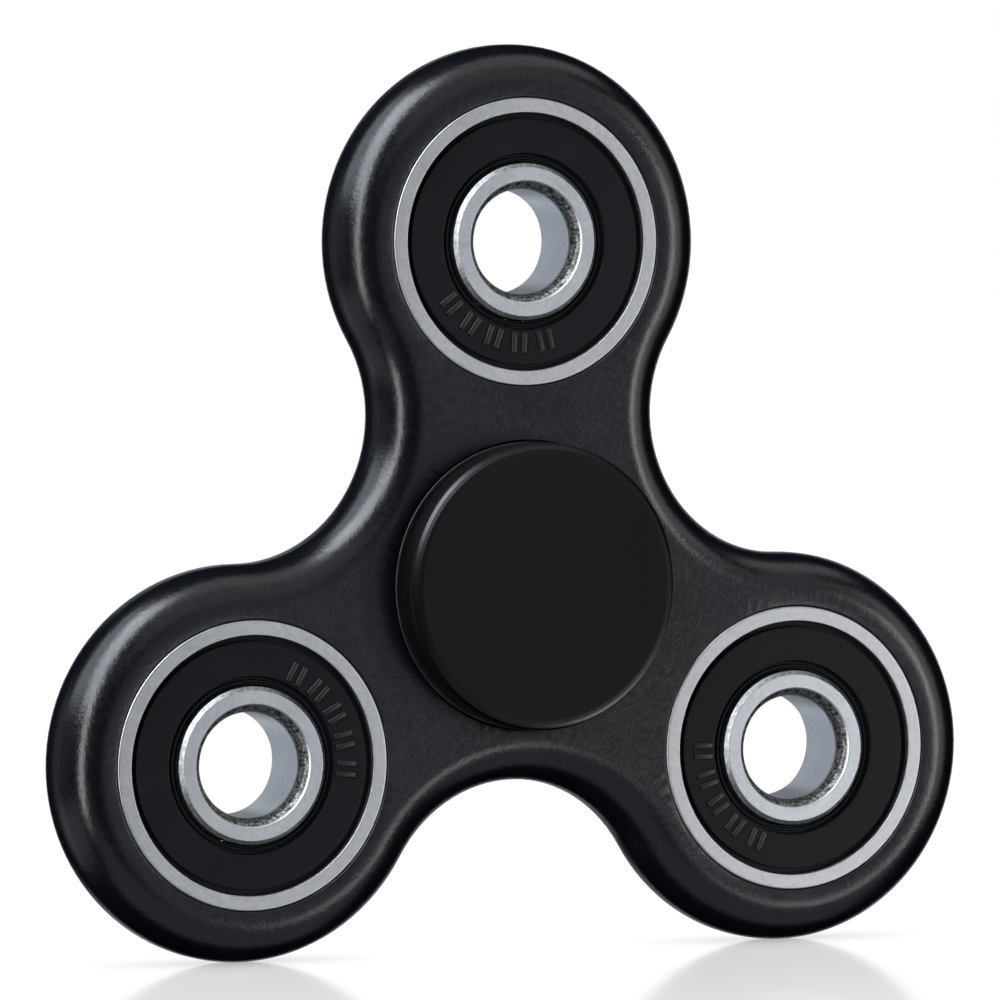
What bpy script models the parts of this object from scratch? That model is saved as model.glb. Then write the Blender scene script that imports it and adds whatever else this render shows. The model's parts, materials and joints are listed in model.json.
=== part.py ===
"""Three-lobed fidget spinner, modelled piece by piece for Blender 4.5.

Units are metres and +Z is up.  The origin is the middle of the hub bearing.  Every bearing axis runs
along Y and the front faces -Y.  A moulded body carries one ball bearing in each lobe and one at the
hub, and two finger caps press into the bore of the hub bearing from either side.

Round pieces are drawn as half sections in their own frame, with the axis on local Z and local +Z
towards the front.  An empty on each bearing's axis turns local Z onto the world's -Y.
"""

import math

import bmesh
import bpy
from mathutils import Matrix, Vector

MM = 0.001

# --- Ball bearing, size 608: 8 mm bore, 22 mm outside, 7 mm wide ---
BORE_R = 4.0 * MM
BEARING_R = 11.0 * MM
BEARING_W = 7.0 * MM
BALL_R = 3.969 / 2 * MM
BALL_COUNT = 7
PITCH_R = (BORE_R + BEARING_R) / 2
RACE_CLEARANCE = 0.1 * MM
RACE_R = 2.1 * MM
INNER_SHOULDER_R = 6.0 * MM
OUTER_LAND_R = 9.05 * MM
RIM_FACE_R = 9.87 * MM
OUTER_CHAMFER = 0.25 * MM
BORE_CHAMFER = 0.7 * MM
SHOULDER_BREAK = 0.12 * MM

# --- Seal: a rubber disc below the ring faces, with a rim snapped into a groove of the outer ring ---
SEAL_SINK = 0.3 * MM
SEAL_BACK = 1.0 * MM
SEAL_DISC_R = 9.4 * MM
SEAL_BORE_R = 6.75 * MM
SEAL_STEP_R = 6.6 * MM
SEAL_LIP_R = 6.1 * MM
SEAL_LIP_T = 0.2 * MM
SEAL_RIM_R = 9.97 * MM
SEAL_RIM_T = 0.25 * MM
SNAP_GROOVE_R = 10.02 * MM
SNAP_GROOVE_W = 0.4 * MM
SNAP_SLOPE = 0.15 * MM
SEAT_GAP = 0.05 * MM

# --- Crown cage: a ring behind the balls, with pockets that open towards the front ---
CAGE_R = (6.55 * MM, 8.45 * MM)
CAGE_BACK = 2.38 * MM
CAGE_FRONT = 0.9 * MM
POCKET_CLEARANCE = 0.08 * MM

# --- Moulded body: three lobes joined by hollow waists, rounded over at the edge ---
LOBE_CENTRE_R = 26.25 * MM
LOBE_R = 15.1 * MM
WAIST_R = 15.05 * MM
EDGE_R = 3.2 * MM
SEAT_R = BEARING_R + SEAT_GAP
SEAT_CHAMFER = 0.2 * MM

# --- Finger cap: a disc on a boss that rests on the inner ring, with a hollow stem in the bore ---
CAP_R = 11.0 * MM
CAP_RISE = 3.5 * MM
CAP_GAP = 1.2 * MM
CAP_EDGE_R = 0.75 * MM
CAP_UNDER_CHAMFER = 0.3 * MM
BOSS_R = 5.6 * MM
STEM_R = BORE_R - 0.03 * MM
STEM_END = 0.3 * MM
STEM_CHAMFER = 0.3 * MM
CORE_R = 2.2 * MM
CORE_DEPTH = 4.0 * MM

# --- Facets ---
TURN_STEPS = 32
RACE_STEPS = 4
FILLET_STEPS = 4
LOBE_STEPS = 24
WAIST_STEPS = 8
EDGE_RESOLUTION = 3
POCKET_STEPS = 12
SHARP_ANGLE = math.radians(35.0)
WELD = 0.001 * MM

# --- Where the bearings sit: name, distance from the hub, and angle from +X towards +Z ---
BEARINGS = (
    ("hub", 0.0, 0.0),
    ("top", LOBE_CENTRE_R, 90.0),
    ("left", LOBE_CENTRE_R, 210.0),
    ("right", LOBE_CENTRE_R, 330.0),
)

# --- Colour, roughness and metallic of each finish ---
BODY_PLASTIC = ((0.017, 0.017, 0.019), 0.42, 0.0)
CAP_PLASTIC = ((0.013, 0.013, 0.014), 0.5, 0.0)
RING_STEEL = ((0.56, 0.57, 0.58), 0.3, 1.0)
BALL_STEEL = ((0.68, 0.69, 0.7), 0.1, 1.0)
SEAL_RUBBER = ((0.011, 0.012, 0.014), 0.55, 0.0)
CAGE_NYLON = ((0.72, 0.7, 0.63), 0.5, 0.0)


def clear_scene():
    for obj in list(bpy.data.objects):
        bpy.data.objects.remove(obj)


def new_collection(name):
    collection = bpy.data.collections.new(name)
    bpy.context.scene.collection.children.link(collection)
    return collection


def arc(centre, radius, start, end, steps):
    """Points of an arc, both ends included, with the angles in radians."""
    angles = [start + (end - start) * i / steps for i in range(steps + 1)]
    return [
        (centre[0] + radius * math.cos(a), centre[1] + radius * math.sin(a)) for a in angles
    ]


def flipped(points):
    """The same line below the mid-plane, in the order that carries it on."""
    return [(radius, -height) for radius, height in reversed(points)]


def place(obj, collection, parent=None, finish=None):
    """Links an object into a collection, and gives it a parent and a material of its own."""
    collection.objects.link(obj)
    obj.parent = parent
    if finish:
        colour, roughness, metallic = finish
        material = bpy.data.materials.new(obj.name)
        material.use_nodes = True
        shader = material.node_tree.nodes["Principled BSDF"]
        shader.inputs["Base Color"].default_value = (*colour, 1.0)
        shader.inputs["Roughness"].default_value = roughness
        shader.inputs["Metallic"].default_value = metallic
        obj.data.materials.append(material)
    return obj


def turned(name, section, closed=True):
    """An object whose half section, as (radius, height) pairs, is turned once around local Z.

    The section runs down its outer side and back up its inner side.
    """
    mesh = bpy.data.meshes.new(name)
    last = len(section) - 1
    edges = [(i, i + 1) for i in range(last)]
    if closed:
        edges.append((last, 0))
    mesh.from_pydata([(radius, 0.0, height) for radius, height in section], edges, [])
    obj = bpy.data.objects.new(name, mesh)
    screw = obj.modifiers.new("turned", "SCREW")
    screw.steps = TURN_STEPS
    screw.render_steps = TURN_STEPS
    screw.use_merge_vertices = True
    screw.merge_threshold = WELD
    return obj


def cut(obj, cutter):
    boolean = obj.modifiers.new("cut", "BOOLEAN")
    boolean.operation = "DIFFERENCE"
    boolean.solver = "EXACT"
    boolean.object = cutter


def welded_copy(obj, name):
    """The object's evaluated shape as a mesh of its own, with doubled points made one."""
    bpy.context.view_layer.update()
    graph = bpy.context.evaluated_depsgraph_get()
    mesh = bpy.data.meshes.new_from_object(obj.evaluated_get(graph), depsgraph=graph)
    mesh.name = name
    shape = bmesh.new()
    shape.from_mesh(mesh)
    bmesh.ops.remove_doubles(shape, verts=shape.verts, dist=WELD)
    bmesh.ops.recalc_face_normals(shape, faces=shape.faces)
    shape.to_mesh(mesh)
    shape.free()
    mesh.shade_smooth()
    mesh.set_sharp_from_angle(angle=SHARP_ANGLE)
    return mesh


def bearing_axes(collection):
    """One empty at the middle of each bearing, with local Z along the axis towards the front."""
    axes = {}
    for name, distance, degrees in BEARINGS:
        empty = bpy.data.objects.new(name + "_axis", None)
        angle = math.radians(degrees)
        empty.location = (distance * math.cos(angle), 0.0, distance * math.sin(angle))
        empty.rotation_euler = (math.pi / 2, 0.0, 0.0)
        empty.empty_display_size = BORE_R
        axes[name] = place(empty, collection)
    return axes


def body_outline():
    """Corners of the body's outline in local X-Y: a round lobe, then a hollow waist, three times."""
    waist_arc_r = (
        WAIST_R**2 + LOBE_CENTRE_R**2 - LOBE_CENTRE_R * WAIST_R - LOBE_R**2
    ) / (2 * LOBE_R - 2 * WAIST_R + LOBE_CENTRE_R)
    waist_centre_r = WAIST_R + waist_arc_r
    points = []
    for middle in (90.0, 210.0, 330.0):
        lobe = Vector((LOBE_CENTRE_R, 0.0))
        lobe.rotate(Matrix.Rotation(math.radians(middle), 2))
        waist = Vector((waist_centre_r, 0.0))
        waist.rotate(Matrix.Rotation(math.radians(middle + 60.0), 2))
        towards = waist - lobe
        meet = math.atan2(towards.y, towards.x)
        half = (meet - math.radians(middle)) % (2 * math.pi)
        lobe_mid = math.radians(middle)
        points += arc(lobe, LOBE_R, lobe_mid - half, lobe_mid + half, LOBE_STEPS)
        waist_mid = math.radians(middle + 60.0 + 180.0)
        spread = meet + math.pi - waist_mid
        spread = (spread + math.pi) % (2 * math.pi) - math.pi
        hollow = arc(waist, waist_arc_r, waist_mid + spread, waist_mid - spread, WAIST_STEPS)
        points += hollow[1:-1]
    return points


def seat_cutter(name):
    """A plug with flared ends that cuts a bearing seat through the body and breaks both its edges."""
    half = BEARING_W / 2
    out = 0.5 * MM
    flare = SEAT_CHAMFER + out
    upper = [
        (0.0, half + out),
        (SEAT_R + flare, half + out),
        (SEAT_R, half - SEAT_CHAMFER),
    ]
    return turned(name, upper + flipped(upper), closed=False)


def make_body(axes, parts, cutters):
    """The moulded body: the outline given thickness, rounded over at the edge and bored four times."""
    outline = body_outline()
    curve = bpy.data.curves.new("body_outline", "CURVE")
    curve.dimensions = "2D"
    curve.fill_mode = "BOTH"
    curve.extrude = BEARING_W / 2 - EDGE_R
    curve.bevel_depth = EDGE_R
    curve.bevel_resolution = EDGE_RESOLUTION
    curve.offset = -EDGE_R
    spline = curve.splines.new("POLY")
    spline.points.add(len(outline) - 1)
    for point, (x, y) in zip(spline.points, outline):
        point.co = (x, y, 0.0, 1.0)
    spline.use_cyclic_u = True
    outline_curve = place(bpy.data.objects.new("body_outline", curve), cutters)
    blank = welded_copy(outline_curve, "body_frame")
    bpy.data.objects.remove(outline_curve)
    body = place(bpy.data.objects.new("body_frame", blank), parts, axes["hub"], BODY_PLASTIC)
    for name, axis in axes.items():
        cutter = place(seat_cutter(name + "_seat_cutter"), cutters, axis)
        cut(body, cutter)
    return body


def outer_ring_section():
    """The outer ring: its race, and on each side a land, a snap groove and the face beyond it."""
    half = BEARING_W / 2
    seat = half - SEAL_BACK - SEAT_GAP
    outside = [
        (BEARING_R - OUTER_CHAMFER, half),
        (BEARING_R, half - OUTER_CHAMFER),
    ]
    inside = [
        (RIM_FACE_R, -half),
        (RIM_FACE_R, -seat - SNAP_GROOVE_W - SNAP_SLOPE),
        (SNAP_GROOVE_R, -seat - SNAP_GROOVE_W),
        (SNAP_GROOVE_R, -seat),
        (OUTER_LAND_R, -seat),
    ]
    centre = PITCH_R + BALL_R + RACE_CLEARANCE - RACE_R
    spread = math.acos((OUTER_LAND_R - centre) / RACE_R)
    race = arc((centre, 0.0), RACE_R, -spread, spread, RACE_STEPS)
    return outside + flipped(outside) + inside + race + flipped(inside)


def inner_ring_section():
    """The inner ring: a chamfered bore, and a race between two shoulders."""
    half = BEARING_W / 2
    shoulder = [
        (INNER_SHOULDER_R - SHOULDER_BREAK, half),
        (INNER_SHOULDER_R, half - SHOULDER_BREAK),
    ]
    bore = [
        (BORE_R + BORE_CHAMFER, -half),
        (BORE_R, -half + BORE_CHAMFER),
    ]
    centre = PITCH_R - BALL_R - RACE_CLEARANCE + RACE_R
    spread = math.acos((centre - INNER_SHOULDER_R) / RACE_R)
    race = arc((centre, 0.0), RACE_R, math.pi - spread, math.pi + spread, RACE_STEPS)
    return shoulder + race + flipped(shoulder) + bore + flipped(bore)


def seal_section():
    """The seal on the front side: a rim at the snap groove, the disc, and a thin lip by the inner ring."""
    face = BEARING_W / 2 - SEAL_SINK
    back = BEARING_W / 2 - SEAL_BACK
    return [
        (SEAL_DISC_R, face),
        (SEAL_DISC_R, back + SEAL_RIM_T),
        (SEAL_RIM_R, back + SEAL_RIM_T),
        (SEAL_RIM_R, back),
        (SEAL_LIP_R, back),
        (SEAL_LIP_R, back + SEAL_LIP_T),
        (SEAL_STEP_R, back + SEAL_LIP_T),
        (SEAL_BORE_R, face),
    ]


def cage_section():
    return [
        (CAGE_R[1], CAGE_FRONT),
        (CAGE_R[1], -CAGE_BACK),
        (CAGE_R[0], -CAGE_BACK),
        (CAGE_R[0], CAGE_FRONT),
    ]


def cap_section():
    """A finger cap, from the middle of its outer face round to the end of its hollow stem."""
    seat = BEARING_W / 2 + SEAT_GAP
    top = BEARING_W / 2 + CAP_RISE
    under = BEARING_W / 2 + CAP_GAP
    edge_centre = (CAP_R - CAP_EDGE_R, top - CAP_EDGE_R)
    edge = arc(edge_centre, CAP_EDGE_R, math.pi / 2, 0.0, FILLET_STEPS)
    return [
        (0.0, top),
        *edge,
        (CAP_R, under + CAP_UNDER_CHAMFER),
        (CAP_R - CAP_UNDER_CHAMFER, under),
        (BOSS_R, under),
        (BOSS_R, seat),
        (STEM_R, seat),
        (STEM_R, STEM_END + STEM_CHAMFER),
        (STEM_R - STEM_CHAMFER, STEM_END),
        (CORE_R, STEM_END),
        (CORE_R, STEM_END + CORE_DEPTH),
        (0.0, STEM_END + CORE_DEPTH),
    ]


def make_cap(name, axis, parts, turn_over):
    cap = place(turned(name, cap_section(), closed=False), parts, axis, CAP_PLASTIC)
    if turn_over:
        cap.rotation_euler = (math.pi, 0.0, 0.0)
    return cap


def ball_places():
    """The middle of each ball in its bearing's frame, the first one straight above the axis."""
    step = 2 * math.pi / BALL_COUNT
    angles = [math.pi / 2 + step * i for i in range(BALL_COUNT)]
    return [(PITCH_R * math.cos(a), PITCH_R * math.sin(a), 0.0) for a in angles]


def ball_mesh():
    shape = bmesh.new()
    bmesh.ops.create_icosphere(shape, subdivisions=2, radius=BALL_R)
    mesh = bpy.data.meshes.new("ball")
    shape.to_mesh(mesh)
    shape.free()
    mesh.shade_smooth()
    return mesh


def pocket_cutter(name):
    """Seven radial drills, one at each ball, whose flats all clear the ball."""
    radius = (BALL_R + POCKET_CLEARANCE) / math.cos(math.pi / POCKET_STEPS)
    length = 2 * (CAGE_R[1] - CAGE_R[0])
    shape = bmesh.new()
    for x, y, z in ball_places():
        outward = Matrix.Rotation(math.atan2(y, x), 4, "Z") @ Matrix.Rotation(math.pi / 2, 4, "Y")
        flat_back = Matrix.Rotation(math.pi / POCKET_STEPS, 4, "Z")
        bmesh.ops.create_cone(
            shape,
            cap_ends=True,
            segments=POCKET_STEPS,
            radius1=radius,
            radius2=radius,
            depth=length,
            matrix=Matrix.Translation((x, y, z)) @ outward @ flat_back,
        )
    mesh = bpy.data.meshes.new(name)
    shape.to_mesh(mesh)
    shape.free()
    return bpy.data.objects.new(name, mesh)


def make_bearing(name, axis, parts, cutters):
    """Two rings, seven balls in a crown cage and a seal on each side."""
    place(turned(name + "_outer_ring", outer_ring_section()), parts, axis, RING_STEEL)
    place(turned(name + "_inner_ring", inner_ring_section()), parts, axis, RING_STEEL)
    place(turned(name + "_front_seal", seal_section()), parts, axis, SEAL_RUBBER)
    back_seal = place(turned(name + "_back_seal", seal_section()), parts, axis, SEAL_RUBBER)
    back_seal.rotation_euler = (math.pi, 0.0, 0.0)
    cage = place(turned(name + "_cage", cage_section()), parts, axis, CAGE_NYLON)
    cut(cage, place(pocket_cutter(name + "_pocket_cutter"), cutters, axis))
    for number, middle in enumerate(ball_places(), 1):
        ball = bpy.data.objects.new(f"{name}_ball_{number}", ball_mesh())
        place(ball, parts, axis, BALL_STEEL)
        ball.location = middle


def hide_cutters(cutters):
    cutters.hide_render = True
    for obj in cutters.objects:
        obj.hide_render = True
        obj.display_type = "WIRE"


def main():
    clear_scene()
    parts = new_collection("fidget_spinner")
    cutters = new_collection("cutters")
    axes = bearing_axes(parts)
    make_body(axes, parts, cutters)
    for name, axis in axes.items():
        make_bearing(name, axis, parts, cutters)
    make_cap("front_cap", axes["hub"], parts, turn_over=False)
    make_cap("back_cap", axes["hub"], parts, turn_over=True)
    hide_cutters(cutters)


main()
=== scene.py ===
"""The looks of the three-lobed fidget spinner: fine surfaces, finishes, floor, light and camera.

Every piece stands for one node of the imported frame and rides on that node's body.  Round pieces are
drawn as half sections in their bearing's own frame, where local Z is the axis and points forward.
"""

import json
import math

import bmesh
import bpy
from mathutils import Matrix, Vector

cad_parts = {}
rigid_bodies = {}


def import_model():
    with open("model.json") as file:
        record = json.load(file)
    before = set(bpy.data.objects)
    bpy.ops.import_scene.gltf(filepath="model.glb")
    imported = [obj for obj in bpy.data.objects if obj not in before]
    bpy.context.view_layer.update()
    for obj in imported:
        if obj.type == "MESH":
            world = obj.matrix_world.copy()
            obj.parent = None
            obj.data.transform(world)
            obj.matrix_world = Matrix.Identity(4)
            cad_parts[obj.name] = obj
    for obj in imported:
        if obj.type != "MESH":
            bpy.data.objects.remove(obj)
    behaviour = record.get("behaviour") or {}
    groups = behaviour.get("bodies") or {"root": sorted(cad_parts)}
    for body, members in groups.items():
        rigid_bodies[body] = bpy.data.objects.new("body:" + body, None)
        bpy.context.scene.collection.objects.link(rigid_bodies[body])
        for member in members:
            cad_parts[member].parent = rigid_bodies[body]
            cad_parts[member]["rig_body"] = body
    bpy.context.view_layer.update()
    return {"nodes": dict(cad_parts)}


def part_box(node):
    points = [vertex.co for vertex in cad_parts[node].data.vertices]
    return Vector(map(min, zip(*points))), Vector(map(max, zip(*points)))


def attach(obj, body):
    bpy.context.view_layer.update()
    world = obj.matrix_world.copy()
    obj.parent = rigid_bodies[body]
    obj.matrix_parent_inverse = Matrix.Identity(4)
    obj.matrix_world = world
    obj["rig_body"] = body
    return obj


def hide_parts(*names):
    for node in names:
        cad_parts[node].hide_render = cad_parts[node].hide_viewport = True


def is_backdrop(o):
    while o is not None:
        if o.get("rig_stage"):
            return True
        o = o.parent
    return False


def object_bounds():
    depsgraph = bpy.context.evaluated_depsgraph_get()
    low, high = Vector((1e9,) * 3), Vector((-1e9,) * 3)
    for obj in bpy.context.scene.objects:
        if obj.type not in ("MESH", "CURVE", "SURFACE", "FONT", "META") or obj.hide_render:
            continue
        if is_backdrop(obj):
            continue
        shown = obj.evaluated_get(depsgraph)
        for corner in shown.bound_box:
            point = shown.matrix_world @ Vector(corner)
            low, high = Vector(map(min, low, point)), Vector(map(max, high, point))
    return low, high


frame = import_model()

MM = 0.001

# --- Detail of the bearings, in metres ---
BALLS = 7
RACE_R = 2.1 * MM
RACE_GAP = 0.1 * MM
RING_EDGE_R = 0.14 * MM
INNER_EDGE = 0.32 * MM
RIM_EDGE_R = 0.06 * MM
BAR_SIZE = (0.44 * MM, 1.6 * MM, 0.16 * MM)
BAR_GAP = 0.85 * MM
BAR_PAIRS = 5
BAR_PITCH = math.radians(16.3)
TORN_WIDTH = 0.62 * MM

# --- Detail of the body and the caps ---
EDGE_R = 3.2 * MM
SEAT_EDGE_R = 0.12 * MM
CAP_EDGE_R = 0.78 * MM
CAP_DISH = 0.15 * MM
CAP_UNDER_EDGE_R = 0.1 * MM

# --- Fineness ---
TURN_STEPS = 160
EDGE_STEPS = 16
LOBE_STEPS = 72
WAIST_STEPS = 30
CORNER_STEPS = 4
DISH_STEPS = 8
GUARD = 0.03 * MM
LONG_RUN = 0.3 * MM
SMOOTH_BELOW = math.radians(32.0)

# --- The set ---
LAMP_DISTANCE = 0.6
FLOOR_R = 28.0
CARD_R = 29.0
CARD_HEIGHT = 40.0
CARD_GLOW = 1.1
MIRROR_NEAR = 0.34
MIRROR_FAR = 0.14

BEARINGS = ("hub", "top", "left", "right")


# ---------------------------------------------------------------- places and sizes from the frame


def middle(node):
    low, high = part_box(node)
    return (low + high) / 2


def half_size(node):
    low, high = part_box(node)
    return (high - low) / 2


def bearing_matrix(name):
    """The frame of one bearing: its middle, with local Z along the axis towards the front."""
    return Matrix.Translation(middle(name + "_outer_ring")) @ Matrix.Rotation(math.pi / 2, 4, "X")


def radii(node, axis_at):
    """The smallest and largest distance of a node's points from a bearing's axis."""
    points = frame["nodes"][node].data.vertices
    spans = [math.hypot(p.co.x - axis_at.x, p.co.z - axis_at.z) for p in points]
    return min(spans), max(spans)


HALF_W = half_size("hub_outer_ring").y
BEARING_R = half_size("hub_outer_ring").x
SHOULDER_R = half_size("hub_inner_ring").x
BORE_R = radii("hub_inner_ring", middle("hub_inner_ring"))[0]
BALL_R = half_size("hub_ball_1").z
PITCH_R = (middle("hub_ball_1") - middle("hub_outer_ring")).length
LOBE_CENTRE_R = middle("top_outer_ring").z
LOBE_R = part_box("body_frame")[1].z - LOBE_CENTRE_R
WAIST_R = min(
    math.hypot(p.co.x, p.co.z)
    for p in frame["nodes"]["body_frame"].data.vertices
    if abs(p.co.y) < HALF_W / 8
)
SEAT_R = BEARING_R + 0.05 * MM
RIM_FACE_R = BEARING_R - 1.13 * MM
SEAL_R = half_size("hub_front_seal").x
SEAL_LIP_R = radii("hub_front_seal", middle("hub_front_seal"))[0]
SEAL_BACK = -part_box("hub_front_seal")[1].y
SEAL_FACE = -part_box("hub_front_seal")[0].y
CAP_R = half_size("front_cap").x
CAP_TOP = -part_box("front_cap")[0].y
CAP_END = -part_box("front_cap")[1].y


# ---------------------------------------------------------------- mesh helpers


def rounded(corners, closed=True):
    """A line through (radius, height, rounding) corners, with an arc where rounding isn't zero."""
    points = []
    count = len(corners)
    for i, (radius, height, rounding) in enumerate(corners):
        here = Vector((radius, height))
        if rounding <= 0 or (not closed and i in (0, count - 1)):
            points.append(here)
            continue
        before = (Vector(corners[i - 1][:2]) - here).normalized()
        after = (Vector(corners[(i + 1) % count][:2]) - here).normalized()
        opening = before.angle(after)
        reach = rounding / math.tan(opening / 2)
        centre = here + (before + after).normalized() * rounding / math.sin(opening / 2)
        start = here + before * reach - centre
        turn = math.copysign(math.pi - opening, before.cross(after) * -1)
        for step in range(CORNER_STEPS + 1):
            arm = start.copy()
            arm.rotate(Matrix.Rotation(turn * step / CORNER_STEPS, 2))
            points.append(centre + arm)
    return points


def mirrored(corners):
    return [(radius, -height, rounding) for radius, height, rounding in reversed(corners)]


def arc(centre, radius, start, end, steps):
    angles = [start + (end - start) * i / steps for i in range(steps + 1)]
    return [
        Vector((centre[0] + radius * math.cos(a), centre[1] + radius * math.sin(a))) for a in angles
    ]


def guarded(section):
    """Adds a point close to each end of a long straight run, so that its shading stays flat."""
    points = []
    for here, after in zip(section, section[1:] + section[:1]):
        points.append(here)
        run = (after - here).length
        if run > LONG_RUN:
            points += [here.lerp(after, GUARD / run), after.lerp(here, GUARD / run)]
    return points


def turned_mesh(name, section, closed=True):
    """A half section turned once around local Z."""
    shape = bmesh.new()
    section = guarded(section) if closed else guarded(section)[:-2]
    points = [shape.verts.new((p.x, 0.0, p.y)) for p in section]
    pairs = list(zip(points, points[1:]))
    if closed:
        pairs.append((points[-1], points[0]))
    edges = [shape.edges.new(pair) for pair in pairs]
    bmesh.ops.spin(
        shape,
        geom=points + edges,
        cent=(0, 0, 0),
        axis=(0, 0, 1),
        angle=2 * math.pi,
        steps=TURN_STEPS,
        use_merge=True,
    )
    bmesh.ops.remove_doubles(shape, verts=shape.verts, dist=1e-7)
    bmesh.ops.recalc_face_normals(shape, faces=shape.faces)
    return mesh_from(shape, name)


def mesh_from(shape, name):
    mesh = bpy.data.meshes.new(name)
    shape.to_mesh(mesh)
    shape.free()
    mesh.shade_smooth()
    mesh.set_sharp_from_angle(angle=SMOOTH_BELOW)
    return mesh


def add_piece(node, mesh, matrix, finish):
    """Shows a mesh in place of one CAD node, riding on that node's body."""
    piece = bpy.data.objects.new(node + "_fine", mesh)
    bpy.context.scene.collection.objects.link(piece)
    piece.matrix_world = matrix
    normals = piece.modifiers.new("flat faces stay flat", "WEIGHTED_NORMAL")
    normals.keep_sharp = True
    if not mesh.materials:
        mesh.materials.append(finish)
    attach(piece, frame["nodes"][node]["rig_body"])
    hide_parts(node)
    return piece


# ---------------------------------------------------------------- the body


def outline(inset):
    """The body's outline moved inwards, in local X-Y: three round lobes and three hollow waists."""
    hollow_r = (WAIST_R**2 + LOBE_CENTRE_R**2 - LOBE_CENTRE_R * WAIST_R - LOBE_R**2) / (
        2 * LOBE_R - 2 * WAIST_R + LOBE_CENTRE_R
    )
    hollow_centre_r = WAIST_R + hollow_r
    points = []
    for third in range(3):
        lobe_angle = math.pi / 2 + third * 2 * math.pi / 3
        hollow_angle = lobe_angle + math.pi / 3
        lobe = Vector((math.cos(lobe_angle), math.sin(lobe_angle))) * LOBE_CENTRE_R
        hollow = Vector((math.cos(hollow_angle), math.sin(hollow_angle))) * hollow_centre_r
        across = hollow - lobe
        meet = math.atan2(across.y, across.x)
        reach = (meet - lobe_angle) % (2 * math.pi)
        points += arc(lobe, LOBE_R - inset, lobe_angle - reach, lobe_angle + reach, LOBE_STEPS)
        inward = hollow_angle + math.pi
        spread = (meet + math.pi - inward + math.pi) % (2 * math.pi) - math.pi
        waist = arc(hollow, hollow_r + inset, inward + spread, inward - spread, WAIST_STEPS)
        points += waist[1:-1]
    return points


def loop_at(shape, points, height):
    return [shape.verts.new((p[0], p[1], height)) for p in points]


def bridge(shape, first, second):
    count = len(first)
    for i in range(count):
        j = (i + 1) % count
        shape.faces.new((first[i], first[j], second[j], second[i]))


def seat_circle(name, radius):
    at = bearing_matrix("hub").inverted() @ middle(name + "_outer_ring")
    return arc((at.x, at.y), radius, 0.0, 2 * math.pi, TURN_STEPS)[:-1]


def body_mesh():
    """The moulded body: an edge rounded over almost to a half round, flat faces, and four seats."""
    shape = bmesh.new()
    land = HALF_W - EDGE_R
    turns = [math.pi / 2 * i / EDGE_STEPS for i in range(EDGE_STEPS + 1)]
    front = [(EDGE_R * (1 - math.cos(t)), land + EDGE_R * math.sin(t)) for t in turns]
    rows = [(inset, -height) for inset, height in reversed(front)] + front
    loops = [loop_at(shape, outline(inset), height) for inset, height in rows]
    for lower, upper in zip(loops, loops[1:]):
        bridge(shape, lower, upper)
    rims = {-1: [loops[0]], 1: [loops[-1]]}
    rounds = [math.pi / 2 * i / CORNER_STEPS for i in range(CORNER_STEPS + 1)]
    upper_seat = [
        (SEAT_R + SEAT_EDGE_R * (1 - math.cos(t)), HALF_W - SEAT_EDGE_R * (1 - math.sin(t)))
        for t in rounds
    ]
    seat_rows = [(radius, -height) for radius, height in reversed(upper_seat)] + upper_seat
    for name in BEARINGS:
        seat = [loop_at(shape, seat_circle(name, radius), height) for radius, height in seat_rows]
        for lower, upper in zip(seat, seat[1:]):
            bridge(shape, upper, lower)
        rims[-1].append(seat[0])
        rims[1].append(seat[-1])
    for side in (-1, 1):
        edges = []
        for loop in rims[side]:
            pairs = zip(loop, loop[1:] + loop[:1])
            edges += [shape.edges.get(pair) for pair in pairs]
        bmesh.ops.triangle_fill(shape, edges=edges, use_beauty=True, normal=(0, 0, side))
    bmesh.ops.recalc_face_normals(shape, faces=shape.faces)
    return mesh_from(shape, "body")


# ---------------------------------------------------------------- the bearings


def outer_ring_mesh():
    seat = SEAL_BACK - 0.05 * MM
    groove_r = SEAL_R + 0.05 * MM
    land_r = PITCH_R + 1.55 * MM
    inside = [
        (RIM_FACE_R, -HALF_W, RIM_EDGE_R),
        (RIM_FACE_R, -seat - 0.55 * MM, 0.0),
        (groove_r, -seat - 0.4 * MM, 0.0),
        (groove_r, -seat, 0.0),
        (land_r, -seat, RIM_EDGE_R),
    ]
    outside = [(BEARING_R, HALF_W, RING_EDGE_R), (BEARING_R, -HALF_W, RING_EDGE_R)]
    centre = PITCH_R + BALL_R + RACE_GAP - RACE_R
    spread = math.acos((land_r - centre) / RACE_R)
    race = arc((centre, 0.0), RACE_R, -spread, spread, EDGE_STEPS)
    corners = outside + inside + [(p.x, p.y, 0.0) for p in race] + mirrored(inside)
    return turned_mesh("outer_ring", rounded(corners))


def inner_ring_mesh():
    """The inner ring: broken edges outside, and a short chamfer that eases into the bore."""
    shoulder = [
        (SHOULDER_R - INNER_EDGE, HALF_W, 0.05 * MM),
        (SHOULDER_R, HALF_W - INNER_EDGE * 0.8, 0.08 * MM),
    ]
    bore = [
        (BORE_R + 0.7 * MM, -HALF_W, 0.05 * MM),
        (BORE_R + 0.3 * MM, -HALF_W + 0.32 * MM, 0.12 * MM),
        (BORE_R, -HALF_W + 1.1 * MM, 0.6 * MM),
    ]
    centre = PITCH_R - BALL_R - RACE_GAP + RACE_R
    spread = math.acos((centre - SHOULDER_R) / RACE_R)
    race = arc((centre, 0.0), RACE_R, math.pi - spread, math.pi + spread, EDGE_STEPS)
    corners = shoulder + [(p.x, p.y, 0.0) for p in race] + mirrored(shoulder) + bore + mirrored(bore)
    return turned_mesh("inner_ring", rounded(corners))


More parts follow.
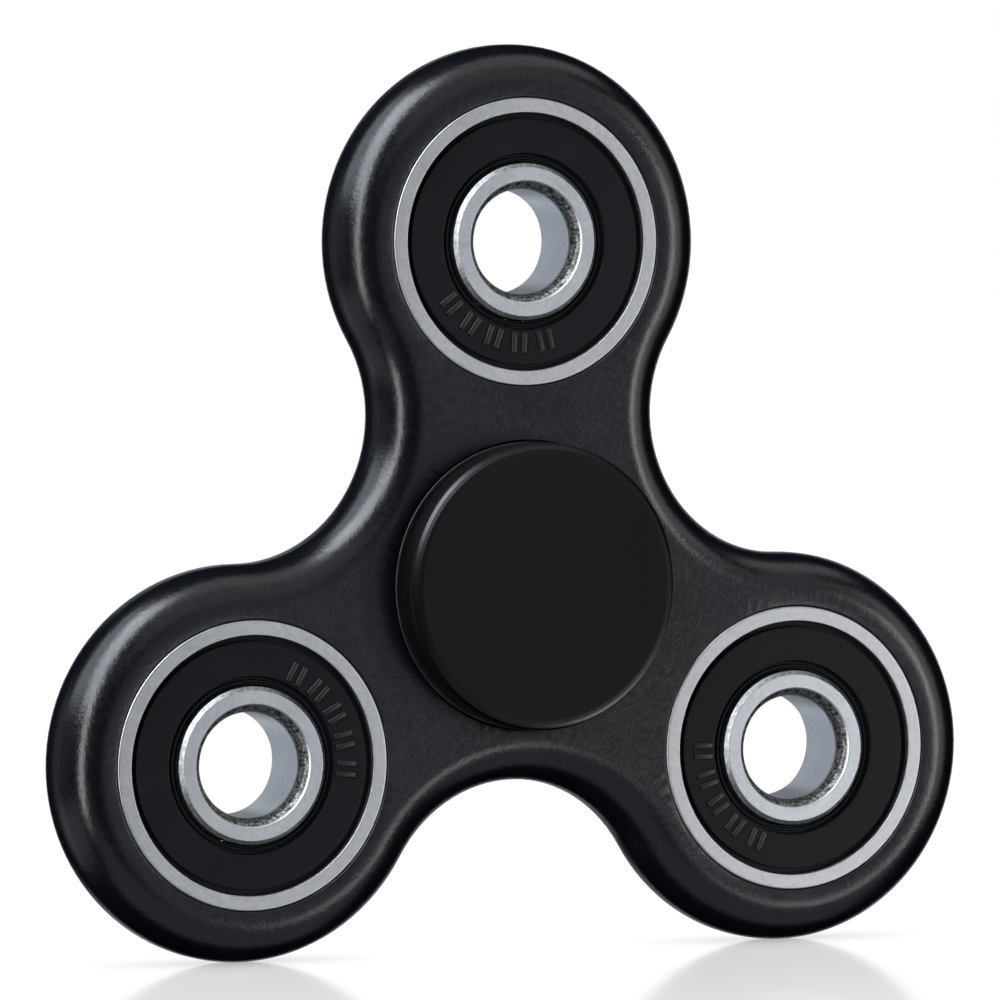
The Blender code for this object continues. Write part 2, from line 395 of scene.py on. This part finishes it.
def bar_mesh():
    """One small raised bar lying along a radius, with sloping sides."""
    shape = bmesh.new()
    size = Matrix.Diagonal((BAR_SIZE[1], BAR_SIZE[0], BAR_SIZE[2] * 2, 1.0))
    bmesh.ops.create_cube(shape, size=1.0, matrix=size)
    bmesh.ops.bevel(
        shape, geom=shape.edges[:], offset=0.09 * MM, segments=3, profile=0.5, affect="EDGES"
    )
    return shape


def seal_mesh(marks_at):
    """A seal on the front side, with pairs of plain raised bars where a bearing carries its marks."""
    disc_r = BEARING_R - 1.6 * MM
    hole_r = SEAL_LIP_R + 0.65 * MM
    ledge = SEAL_BACK + 0.2 * MM
    corners = [
        (disc_r, SEAL_FACE, 0.09 * MM),
        (disc_r, SEAL_BACK + 0.25 * MM, 0.0),
        (SEAL_R, SEAL_BACK + 0.25 * MM, 0.05 * MM),
        (SEAL_R, SEAL_BACK, 0.0),
        (SEAL_LIP_R, SEAL_BACK, 0.0),
        (SEAL_LIP_R, ledge, 0.05 * MM),
        (SEAL_LIP_R + 0.14 * MM, ledge, 0.02 * MM),
        (SEAL_LIP_R + 0.2 * MM, ledge + 0.2 * MM, 0.05 * MM),
        (SEAL_LIP_R + 0.34 * MM, ledge + 0.2 * MM, 0.05 * MM),
        (SEAL_LIP_R + 0.4 * MM, ledge, 0.02 * MM),
        (hole_r - 0.1 * MM, ledge, 0.02 * MM),
        (hole_r, SEAL_FACE, 0.09 * MM),
    ]
    disc = turned_mesh("seal", rounded(corners))
    shape = bmesh.new()
    shape.from_mesh(disc)
    bpy.data.meshes.remove(disc)
    middle_r = (hole_r + disc_r) / 2 - 0.35 * MM
    for number in range(BAR_PAIRS):
        angle = marks_at + (number - (BAR_PAIRS - 1) / 2) * BAR_PITCH
        for side in (-0.5, 0.5):
            bar = bar_mesh()
            stand = Matrix.Translation((middle_r, side * BAR_GAP, SEAL_FACE))
            bar.transform(Matrix.Rotation(angle, 4, "Z") @ stand)
            loose = bpy.data.meshes.new("bar")
            bar.to_mesh(loose)
            bar.free()
            shape.from_mesh(loose)
            bpy.data.meshes.remove(loose)
    return mesh_from(shape, "seal")


def cage_mesh():
    low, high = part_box("hub_cage")
    inner, outer = radii("hub_cage", middle("hub_outer_ring"))
    corners = [
        (outer, -low.y, 0.1 * MM),
        (outer, -high.y, 0.1 * MM),
        (inner, -high.y, 0.1 * MM),
        (inner, -low.y, 0.1 * MM),
    ]
    ring = bpy.data.objects.new("cage_blank", turned_mesh("cage_blank", rounded(corners)))
    drills = bmesh.new()
    to_local = bearing_matrix("hub").inverted()
    for number in range(1, BALLS + 1):
        at = to_local @ middle(f"hub_ball_{number}")
        lying = Matrix.Rotation(math.pi / 2, 4, "Y")
        outward = Matrix.Rotation(math.atan2(at.y, at.x), 4, "Z") @ lying
        bmesh.ops.create_cone(
            drills,
            cap_ends=True,
            segments=48,
            radius1=BALL_R + 0.08 * MM,
            radius2=BALL_R + 0.08 * MM,
            depth=(outer - inner) * 2,
            matrix=Matrix.Translation(at) @ outward,
        )
    cutter = bpy.data.objects.new("cage_drills", mesh_from(drills, "cage_drills"))
    for obj in (ring, cutter):
        bpy.context.scene.collection.objects.link(obj)
    pockets = ring.modifiers.new("pockets", "BOOLEAN")
    pockets.object = cutter
    pockets.solver = "EXACT"
    bpy.context.view_layer.update()
    graph = bpy.context.evaluated_depsgraph_get()
    mesh = bpy.data.meshes.new_from_object(ring.evaluated_get(graph), depsgraph=graph)
    for obj in (ring, cutter):
        bpy.data.objects.remove(obj)
    mesh.materials.clear()
    mesh.shade_smooth()
    mesh.set_sharp_from_angle(angle=SMOOTH_BELOW)
    return mesh


def ball_mesh():
    shape = bmesh.new()
    bmesh.ops.create_icosphere(shape, subdivisions=4, radius=BALL_R)
    return mesh_from(shape, "ball")


def cap_mesh():
    """A finger cap on the front side: a disc with a shallow dish, the boss that rests on the inner
    ring, and the stem."""
    seat = HALF_W + 0.05 * MM
    under = HALF_W + 1.2 * MM
    boss_r = BORE_R + 1.6 * MM
    stem_r = BORE_R - 0.03 * MM
    core_r = 2.2 * MM
    dish_r = CAP_R - CAP_EDGE_R
    dish = [
        (dish_r * i / DISH_STEPS, CAP_TOP - CAP_DISH * (1 - (i / DISH_STEPS) ** 2), 0.0)
        for i in range(DISH_STEPS)
    ]
    corners = [
        *dish,
        (CAP_R, CAP_TOP, CAP_EDGE_R),
        (CAP_R, under, CAP_UNDER_EDGE_R),
        (boss_r, under, 0.2 * MM),
        (boss_r, seat, 0.1 * MM),
        (stem_r, seat, 0.0),
        (stem_r, CAP_END, 0.3 * MM),
        (core_r, CAP_END, 0.15 * MM),
        (core_r, CAP_END + 4.0 * MM, 0.4 * MM),
        (0.0, CAP_END + 4.0 * MM, 0.0),
    ]
    return turned_mesh("cap", rounded(corners, closed=False), closed=False)


# ---------------------------------------------------------------- materials


class Nodes:
    """A short way to write a material's nodes."""

    def __init__(self, name):
        self.material = bpy.data.materials.new(name)
        self.material.use_nodes = True
        self.tree = self.material.node_tree
        self.shader = self.tree.nodes["Principled BSDF"]

    def add(self, kind, settings=None, **inputs):
        node = self.tree.nodes.new(kind)
        for key, value in (settings or {}).items():
            setattr(node, key, value)
        for key, value in inputs.items():
            self.feed(node, key, value)
        return node

    def feed(self, node, key, value):
        numbered = key[0] == "i" and key[1:].isdigit()
        socket = node.inputs[int(key[1:]) if numbered else key]
        if isinstance(value, bpy.types.NodeSocket):
            self.tree.links.new(value, socket)
        else:
            socket.default_value = value

    def maths(self, operation, first, second=0.0):
        return self.add("ShaderNodeMath", {"operation": operation}, i0=first, i1=second).outputs[0]

    def place(self):
        return self.add("ShaderNodeTexCoord").outputs["Object"]

    def noise(self, scale, detail=2.0, vector=None, roughness=0.5):
        node = self.add("ShaderNodeTexNoise", Scale=scale, Detail=detail, Roughness=roughness)
        self.feed(node, "Vector", vector if vector is not None else self.place())
        return node.outputs["Fac"]

    def spread(self, value, low, high, from_low=0.3, from_high=0.7):
        """Maps a noise value onto a range."""
        node = self.add("ShaderNodeMapRange", Value=value)
        self.feed(node, "From Min", from_low)
        self.feed(node, "From Max", from_high)
        self.feed(node, "To Min", low)
        self.feed(node, "To Max", high)
        return node.outputs["Result"]

    def tint(self, factor, dark, light):
        node = self.add("ShaderNodeMix", {"data_type": "RGBA"})
        self.feed(node, "Factor", factor)
        node.inputs[6].default_value = (*dark, 1.0)
        node.inputs[7].default_value = (*light, 1.0)
        return node.outputs[2]

    def bump(self, height, strength, distance, normal=None):
        node = self.add("ShaderNodeBump", Height=height, Strength=strength, Distance=distance)
        if normal is not None:
            self.feed(node, "Normal", normal)
        return node.outputs["Normal"]

    def surface(self, **inputs):
        for key, value in inputs.items():
            self.feed(self.shader, key.replace("_", " "), value)
        return self.material


def body_plastic():
    """Satin black moulding with a fine spark-eroded grain and faint uneven sheen."""
    n = Nodes("body_plastic")
    grain = n.noise(4300.0, 3.0, roughness=0.6)
    speckle = n.noise(2400.0, 3.0)
    clouds = n.noise(150.0, 4.0)
    fine = n.bump(grain, 0.55, 0.03 * MM)
    coarse = n.bump(speckle, 0.16, 0.045 * MM, fine)
    rough = n.maths("ADD", n.spread(clouds, 0.2, 0.24), n.spread(speckle, -0.02, 0.03))
    return n.surface(
        Base_Color=n.tint(clouds, (0.0024, 0.0028, 0.0042), (0.0036, 0.0042, 0.0064)),
        Roughness=rough,
        Specular_IOR_Level=n.spread(speckle, 0.43, 0.55),
        Normal=coarse,
    )


def cap_plastic():
    """Flat black moulding, finer in grain and duller than the body."""
    n = Nodes("cap_plastic")
    grain = n.noise(7000.0, 2.0)
    clouds = n.noise(160.0, 3.0)
    return n.surface(
        Base_Color=n.tint(clouds, (0.0012, 0.0012, 0.0014), (0.0018, 0.0018, 0.0021)),
        Roughness=n.spread(clouds, 0.3, 0.34),
        Specular_IOR_Level=0.27,
        Normal=n.bump(grain, 0.12, 0.02 * MM),
    )


def axis_distance(n):
    """The distance from local Z, and the separate coordinates."""
    split = n.add("ShaderNodeSeparateXYZ", Vector=n.place()).outputs
    flat = n.add("ShaderNodeCombineXYZ", X=split[0], Y=split[1]).outputs[0]
    radius = n.add("ShaderNodeVectorMath", {"operation": "LENGTH"}, i0=flat).outputs["Value"]
    return radius, split


def around_axis(n):
    """Coordinates that run slowly around local Z and fast outwards, for marks left by turning."""
    radius, split = axis_distance(n)
    angle = n.maths("ARCTAN2", split[1], split[0])
    slow = n.maths("MULTIPLY", angle, 0.35 * MM)
    return n.add("ShaderNodeCombineXYZ", X=radius, Y=slow, Z=split[2]).outputs[0]


def ring_steel(name, shade, roughness, torn=False):
    """Ground bearing steel: fine rings left by the wheel, a mottled sheen and a few dull spots."""
    n = Nodes(name)
    along = around_axis(n)
    lines = n.noise(16000.0, 4.0, along, 0.6)
    mottle = n.noise(2600.0, 4.0, roughness=0.65)
    stain = n.noise(420.0, 3.0)
    dark = tuple(c * 0.78 for c in shade)
    tone = n.maths("ADD", n.maths("MULTIPLY", lines, 0.45), n.maths("MULTIPLY", mottle, 0.55))
    colour = n.tint(n.spread(tone, 0.0, 1.0, 0.35, 0.65), dark, shade)
    ground = n.bump(lines, 0.35, 0.012 * MM)
    pitted = n.bump(mottle, 0.25, 0.02 * MM, ground)
    stained = n.spread(stain, roughness - 0.04, roughness + 0.05)
    rough = n.maths("ADD", stained, n.spread(mottle, -0.04, 0.05))
    if torn:
        colour, rough = torn_chamfers(n, colour, rough)
    tangent = n.add("ShaderNodeTangent", {"direction_type": "RADIAL", "axis": "Z"}).outputs[0]
    return n.surface(
        Base_Color=colour,
        Metallic=1.0,
        Roughness=rough,
        Anisotropic=0.15,
        Tangent=tangent,
        Normal=pitted,
    )


def torn_chamfers(n, colour, rough):
    """Makes an inner ring's chamfers dark and scratched by the tool, most of all at the bore."""
    radius = axis_distance(n)[0]
    face_from = BORE_R + TORN_WIDTH
    face_to = SHOULDER_R - INNER_EDGE
    above_bore = n.spread(radius, 0.0, 1.0, BORE_R + 0.02 * MM, BORE_R + 0.08 * MM)
    below_face = n.spread(radius, 1.0, 0.0, face_from - 0.06 * MM, face_from + 0.02 * MM)
    outside = n.spread(radius, 0.0, 0.7, face_to - 0.02 * MM, face_to + 0.03 * MM)
    where = n.maths("ADD", n.maths("MULTIPLY", above_bore, below_face), outside)
    scratches = n.spread(n.noise(3800.0, 5.0, roughness=0.75), 0.0, 1.0, 0.42, 0.66)
    burnt = n.tint(scratches, (0.015, 0.014, 0.013), (0.36, 0.35, 0.34))
    mix = n.add("ShaderNodeMix", {"data_type": "RGBA"}, Factor=where, i6=colour, i7=burnt)
    return mix.outputs[2], n.maths("MAXIMUM", rough, n.maths("MULTIPLY", where, 0.5))


def ball_steel():
    n = Nodes("ball_steel")
    haze = n.noise(900.0, 3.0)
    return n.surface(
        Base_Color=(0.7, 0.71, 0.72, 1.0),
        Metallic=1.0,
        Roughness=n.spread(haze, 0.05, 0.12),
    )


def seal_rubber():
    """Smooth dark rubber with a faint blue cast.  The raised bars are shinier than the disc."""
    n = Nodes("seal_rubber")
    clouds = n.noise(260.0, 3.0)
    skin = n.noise(4200.0, 2.0)
    height = n.add("ShaderNodeSeparateXYZ", Vector=n.place()).outputs[2]
    sheen = n.spread(height, 0.14, 0.42, SEAL_FACE + 0.02 * MM, SEAL_FACE + 0.06 * MM)
    return n.surface(
        Base_Color=n.tint(clouds, (0.004, 0.0043, 0.0055), (0.0052, 0.0058, 0.0075)),
        Roughness=n.spread(clouds, 0.34, 0.42),
        Specular_IOR_Level=sheen,
        Normal=n.bump(skin, 0.06, 0.02 * MM),
    )


def cage_nylon():
    n = Nodes("cage_nylon")
    clouds = n.noise(500.0, 3.0)
    return n.surface(
        Base_Color=n.tint(clouds, (0.62, 0.59, 0.5), (0.72, 0.69, 0.6)),
        Roughness=n.spread(clouds, 0.42, 0.52),
        Subsurface_Weight=0.15,
        Subsurface_Radius=(0.6 * MM, 0.5 * MM, 0.4 * MM),
        Normal=n.bump(n.noise(3000.0), 0.1, 0.02 * MM),
    )


# ---------------------------------------------------------------- the object


def build_bearing(name, finishes, meshes, marks_at):
    place = bearing_matrix(name)
    turned_over = place @ Matrix.Rotation(math.pi, 4, "X")
    # the hub's outer ring takes the finish with painted shade
    ring = "hub_outer" if name == "hub" else "outer"
    seal = seal_mesh(marks_at)
    pieces = [
        add_piece(name + "_outer_ring", meshes[ring], place, finishes[ring]),
        add_piece(name + "_inner_ring", meshes["inner"], place, finishes["inner"]),
        add_piece(name + "_front_seal", seal, place, finishes["seal"]),
        add_piece(name + "_back_seal", seal, turned_over, finishes["seal"]),
        add_piece(name + "_cage", meshes["cage"], place, finishes["cage"]),
    ]
    for number in range(1, BALLS + 1):
        node = f"{name}_ball_{number}"
        at = Matrix.Translation(middle(node))
        pieces.append(add_piece(node, meshes["ball"], at, finishes["ball"]))
    return pieces


def build_object():
    finishes = {
        "outer": ring_steel("outer_ring_steel", (0.55, 0.555, 0.565), 0.38),
        # painted shade: the hub's outer ring is the same steel as the others, darkened to stand for
        # the shade under the front cap, where the ring shows in the gap
        "hub_outer": ring_steel("hub_ring_painted_shade", (0.05, 0.052, 0.055), 0.5),
        "inner": ring_steel("inner_ring_steel", (0.58, 0.6, 0.63), 0.36, torn=True),
        "seal": seal_rubber(),
        "cage": cage_nylon(),
        "ball": ball_steel(),
    }
    meshes = {
        "outer": outer_ring_mesh(),
        # a ring mesh of its own, which carries the hub ring's painted shade
        "hub_outer": outer_ring_mesh(),
        "inner": inner_ring_mesh(),
        "cage": cage_mesh(),
        "ball": ball_mesh(),
    }
    marks = {"hub": 90.0, "top": 250.0, "left": 29.0, "right": 213.0}
    others = []
    for name in BEARINGS:
        others += build_bearing(name, finishes, meshes, math.radians(marks[name]))
    hub = bearing_matrix("hub")
    others.append(add_piece("body_frame", body_mesh(), hub, body_plastic()))
    cap = cap_mesh()
    plastic = cap_plastic()
    turned_over = hub @ Matrix.Rotation(math.pi, 4, "X")
    caps = [
        add_piece("front_cap", cap, hub, plastic),
        add_piece("back_cap", cap, turned_over, plastic),
    ]
    return caps, others


# ---------------------------------------------------------------- floor, light and camera


def receivers(name, pieces):
    """A collection for the pieces that one light reaches."""
    group = bpy.data.collections.new(name)
    for piece in pieces:
        group.objects.link(piece)
    return group


def floor():
    """A glossy white floor that the lower lobes just touch.  Only the camera sees it, so that low
    lights reach the object.  Its mirror is strongest near the object and fades with distance."""
    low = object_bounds()[0]
    n = Nodes("floor_white")
    # painted shadow: the floor's glow turns grey where ambient occlusion finds the object close, a
    # contact shadow painted into its colour
    near = n.add("ShaderNodeAmbientOcclusion", {"samples": 8}, Distance=9 * MM).outputs["AO"]
    white = n.tint(n.spread(near, 0.0, 1.0, 0.1, 0.8), (0.62, 0.63, 0.65), (1.0, 1.0, 1.0))
    mirror = n.spread(axis_distance(n)[0], MIRROR_NEAR, MIRROR_FAR, 15 * MM, 95 * MM)
    glow = n.add("ShaderNodeEmission", Color=white, Strength=n.maths("SUBTRACT", 1.0, mirror))
    shine = n.add("ShaderNodeBsdfGlossy", Color=mirror, Roughness=0.1)
    both = n.add("ShaderNodeAddShader", i0=glow.outputs[0], i1=shine.outputs[0])
    n.tree.links.new(both.outputs[0], n.tree.nodes["Material Output"].inputs["Surface"])
    shape = bmesh.new()
    bmesh.ops.create_circle(shape, cap_ends=True, segments=96, radius=FLOOR_R)
    plane = bpy.data.objects.new("floor", mesh_from(shape, "floor"))
    plane.location = (0.0, 0.0, low.z)
    plane.data.materials.append(n.material)
    plane.visible_diffuse = False
    plane.visible_glossy = False
    plane.visible_transmission = False
    plane.visible_shadow = False
    bpy.context.scene.collection.objects.link(plane)
    plane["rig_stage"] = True
    card_for(plane)


def card_for(plane):
    """A closed white drum round the set, which only the floor's mirror sees."""
    n = Nodes("white_card")
    glow = n.add("ShaderNodeEmission", Color=(1.0, 1.0, 1.0, 1.0), Strength=CARD_GLOW)
    n.tree.links.new(glow.outputs[0], n.tree.nodes["Material Output"].inputs["Surface"])
    shape = bmesh.new()
    bmesh.ops.create_cone(
        shape, cap_ends=True, segments=96, radius1=CARD_R, radius2=CARD_R, depth=CARD_HEIGHT
    )
    drum = bpy.data.objects.new("white_card", mesh_from(shape, "white_card"))
    drum.data.materials.append(n.material)
    drum.visible_camera = False
    drum.visible_shadow = False
    drum.visible_diffuse = False
    drum.light_linking.receiver_collection = receivers("card_receivers", [plane])
    bpy.context.scene.collection.objects.link(drum)
    drum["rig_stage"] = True


def softbox(name, azimuth, elevation, width, height, glow, colour=(1, 1, 1), only=None):
    """A rectangular light aimed at the hub.  Azimuth 0 is in front and 90 to the right, in degrees,
    width and height are the angles that it fills, glow is how bright its face is, and only is the
    collection that it lights."""
    a, e = math.radians(azimuth), math.radians(elevation)
    towards = Vector((math.sin(a) * math.cos(e), -math.cos(a) * math.cos(e), math.sin(e)))
    light = bpy.data.lights.new(name, "AREA")
    light.shape = "RECTANGLE"
    light.size = 2 * LAMP_DISTANCE * math.tan(math.radians(width) / 2)
    light.size_y = 2 * LAMP_DISTANCE * math.tan(math.radians(height) / 2)
    light.energy = glow * math.pi * light.size * light.size_y
    light.color = colour
    lamp = bpy.data.objects.new(name, light)
    lamp.location = towards * LAMP_DISTANCE
    lamp.rotation_euler = towards.to_track_quat("Z", "Y").to_euler()
    lamp.visible_camera = False
    if only:
        lamp.light_linking.receiver_collection = only
    bpy.context.scene.collection.objects.link(lamp)


def studio_lights(caps, others):
    """Softboxes round the set.  The lights on the left are kept off the caps, whose sides stay
    dark, and the caps have lights of their own for the two crescents on their edge."""
    cool = (0.86, 0.92, 1.0)
    on_caps = receivers("lit_caps", caps)
    off_caps = receivers("lit_without_caps", others)
    off_front_cap = receivers("lit_without_front_cap", [*others, caps[1]])
    on_rings = receivers("lit_rings", [piece for piece in others if "_ring" in piece.name])
    softbox("left_strip", -50.0, 2.0, 9.0, 46.0, 9.0, only=off_caps)
    softbox("left_panel", -62.0, 47.0, 28.0, 54.0, 8.5, cool, only=off_caps)
    softbox("cap_crescent", -66.0, 46.0, 34.0, 40.0, 26.0, cool, only=on_caps)
    softbox("cap_low_right", 62.0, -34.0, 34.0, 34.0, 6.0, only=on_caps)
    softbox("far_left_panel", -102.0, 44.0, 36.0, 46.0, 2.6, cool, only=off_caps)
    softbox("side_left_panel", -105.0, 4.0, 40.0, 26.0, 0.2, cool, only=off_caps)
    softbox("top_panel", 10.0, 74.0, 90.0, 30.0, 1.0)
    softbox("upper_fill", 15.0, 40.0, 54.0, 38.0, 0.6)
    softbox("front_fill", 23.0, -1.0, 36.0, 42.0, 0.4, cool)
    softbox("low_fill", 10.0, -48.0, 80.0, 50.0, 0.42, cool)
    softbox("right_spot", 44.0, -1.0, 8.0, 24.0, 7.5, only=off_caps)
    softbox("right_panel", 60.0, 8.0, 22.0, 44.0, 1.2)
    softbox("low_spot", 32.0, -17.0, 14.0, 8.0, 4.0, only=off_caps)
    softbox("low_left_panel", -100.0, -30.0, 60.0, 24.0, 0.6, cool, only=off_caps)
    softbox("back_left_panel", -150.0, 5.0, 80.0, 110.0, 0.55, cool, only=on_rings)
    softbox("back_fill", 154.0, -4.0, 52.0, 52.0, 0.45, cool, only=off_front_cap)
    softbox("back_side_fill", -132.0, -4.0, 30.0, 50.0, 0.2, cool, only=off_front_cap)


def white_world():
    """White where the camera looks past the object, and a dim studio for everything else."""
    world = bpy.data.worlds.new("studio")
    world.use_nodes = True
    bpy.context.scene.world = world
    tree = world.node_tree
    tree.nodes.clear()
    ray = tree.nodes.new("ShaderNodeLightPath").outputs["Is Camera Ray"]
    shown = tree.nodes.new("ShaderNodeBackground")
    shown.inputs["Color"].default_value = (1.0, 1.0, 1.0, 1.0)
    dim = tree.nodes.new("ShaderNodeBackground")
    dim.inputs["Color"].default_value = (0.9, 0.95, 1.0, 1.0)
    dim.inputs["Strength"].default_value = 0.05
    mix = tree.nodes.new("ShaderNodeMixShader")
    out = tree.nodes.new("ShaderNodeOutputWorld")
    tree.links.new(ray, mix.inputs[0])
    tree.links.new(dim.outputs[0], mix.inputs[1])
    tree.links.new(shown.outputs[0], mix.inputs[2])
    tree.links.new(mix.outputs[0], out.inputs["Surface"])


def camera():
    """A long lens a little above the hub and to its left, turned right and tipped slightly down."""
    lens = bpy.data.cameras.new("camera")
    lens.sensor_width = 36.0
    lens.lens = 308.5
    eye = bpy.data.objects.new("camera", lens)
    turn = Matrix.Rotation(math.radians(-24.22), 4, "Z")
    tip = Matrix.Rotation(math.radians(90.0 - 2.116), 4, "X")
    roll = Matrix.Rotation(math.radians(-0.19), 4, "Z")
    eye.matrix_world = Matrix.Translation((-0.2703, -0.5993, 0.0307)) @ turn @ tip @ roll
    lens.clip_start = 0.01
    lens.clip_end = 100.0
    bpy.context.scene.collection.objects.link(eye)
    bpy.context.scene.camera = eye


caps, others = build_object()
floor()
studio_lights(caps, others)
white_world()
camera()
bpy.context.scene.view_settings.view_transform = "Standard"
